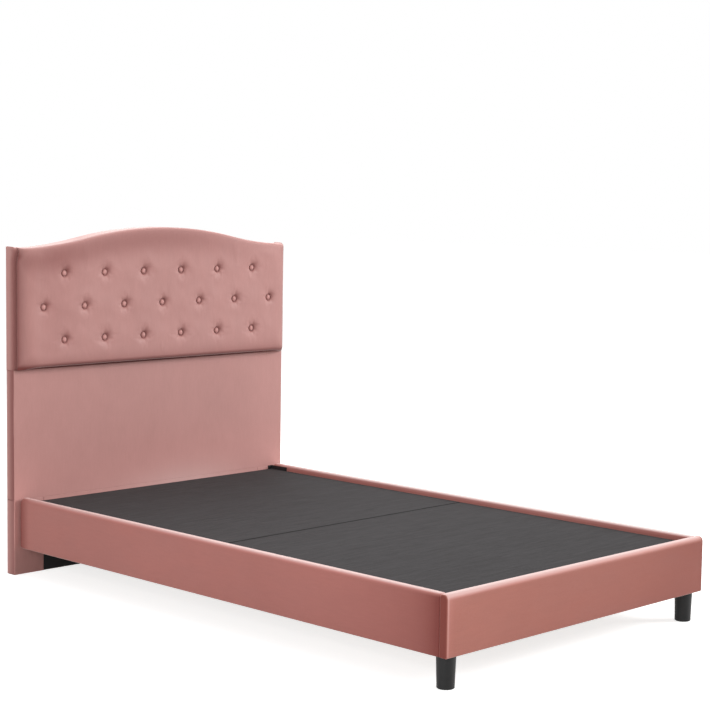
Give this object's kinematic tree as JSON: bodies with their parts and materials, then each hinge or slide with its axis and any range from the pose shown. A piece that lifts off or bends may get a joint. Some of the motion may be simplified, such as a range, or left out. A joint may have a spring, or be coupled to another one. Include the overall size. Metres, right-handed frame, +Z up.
{
  "type": "upholstered bed",
  "caption": "Upholstered bed with an arched button-tufted velvet headboard, velvet rails, dark lift-out deck panels, a levelling centre leg and round black feet.",
  "frame": {"origin": "on the floor, below the centre of the bed's bounding box", "axes": "+Z up, +Y towards the headboard, +X towards the bed's right side as seen from the foot end"},
  "size_m": [1.3, 2.098, 1.2419],
  "materials": {
    "velvet": "short-pile velvet",
    "button_velvet": "short-pile velvet",
    "lining_cloth": "non-woven, matt",
    "deck_cloth": "non-woven, matt",
    "timber": "planed softwood",
    "panel_wood": "particle board",
    "black_steel": "powder coat",
    "zinc_steel": "zinc plated",
    "black_plastic": "fine grain"
  },
  "bodies": {
    "bed_frame": {"top_board": "panel_wood", "top_frame": "timber", "top_band": "velvet", "tufted_pad": "velvet", "tuft_buttons": "button_velvet", "top_back_cloth": "lining_cloth", "middle_board": "panel_wood", "middle_frame": "timber", "middle_cover": "velvet", "middle_back_cloth": "lining_cloth", "base_board": "panel_wood", "base_frame": "timber", "base_left_cover": "velvet", "base_right_cover": "velvet", "base_front_band": "velvet", "base_front_cloth": "lining_cloth", "base_back_cloth": "lining_cloth", "joining_plates": "zinc_steel", "plate_screws": "zinc_steel", "left_rail_board": "panel_wood", "left_rail_cover": "velvet", "right_rail_board": "panel_wood", "right_rail_cover": "velvet", "foot_rail_board": "panel_wood", "foot_rail_cover": "velvet", "left_ledge": "timber", "right_ledge": "timber", "head_ledge": "timber", "foot_ledge": "timber", "ledge_screws": "zinc_steel", "head_brackets": "black_steel", "head_bracket_screws": "zinc_steel", "foot_brackets": "black_steel", "foot_bracket_screws": "zinc_steel", "corner_blocks": "timber", "left_foot": "black_plastic", "right_foot": "black_plastic", "foot_bolts": "zinc_steel", "cross_beam": "timber", "beam_saddles": "black_steel", "saddle_screws": "zinc_steel", "centre_leg": "black_steel", "leg_screws": "zinc_steel", "leg_insert": "black_plastic"},
    "head_deck": {"deck_head_board": "panel_wood", "deck_head_frame": "timber", "deck_head_cover": "deck_cloth"},
    "foot_deck": {"deck_foot_board": "panel_wood", "deck_foot_frame": "timber", "deck_foot_cover": "deck_cloth"},
    "glide": {"levelling_pad": "black_plastic"},
    "stem": {"levelling_stem": "zinc_steel"}
  },
  "joints": [
    {"name": "head_deck_lift", "type": "slide", "parent": "bed_frame", "child": "head_deck", "axis": [0, 0, 1], "range_m": [0, 0.3]},
    {"name": "foot_deck_lift", "type": "slide", "parent": "bed_frame", "child": "foot_deck", "axis": [0, 0, 1], "range_m": [0, 0.3]},
    {"name": "glide_travel", "type": "slide", "parent": "bed_frame", "child": "glide", "axis": [0, 0, 1], "range_m": [-0.003, 0.0075]},
    {"name": "stem_spin", "type": "hinge", "parent": "glide", "child": "stem", "pos_m": [0, -0.029, 0.03], "axis": [0, 0, 1], "range_deg": [-720, 1800]}
  ],
  "couplings": [
    {"joint": "glide_travel", "follows": "stem_spin", "m_per_rad": 0.0002387}
  ]
}
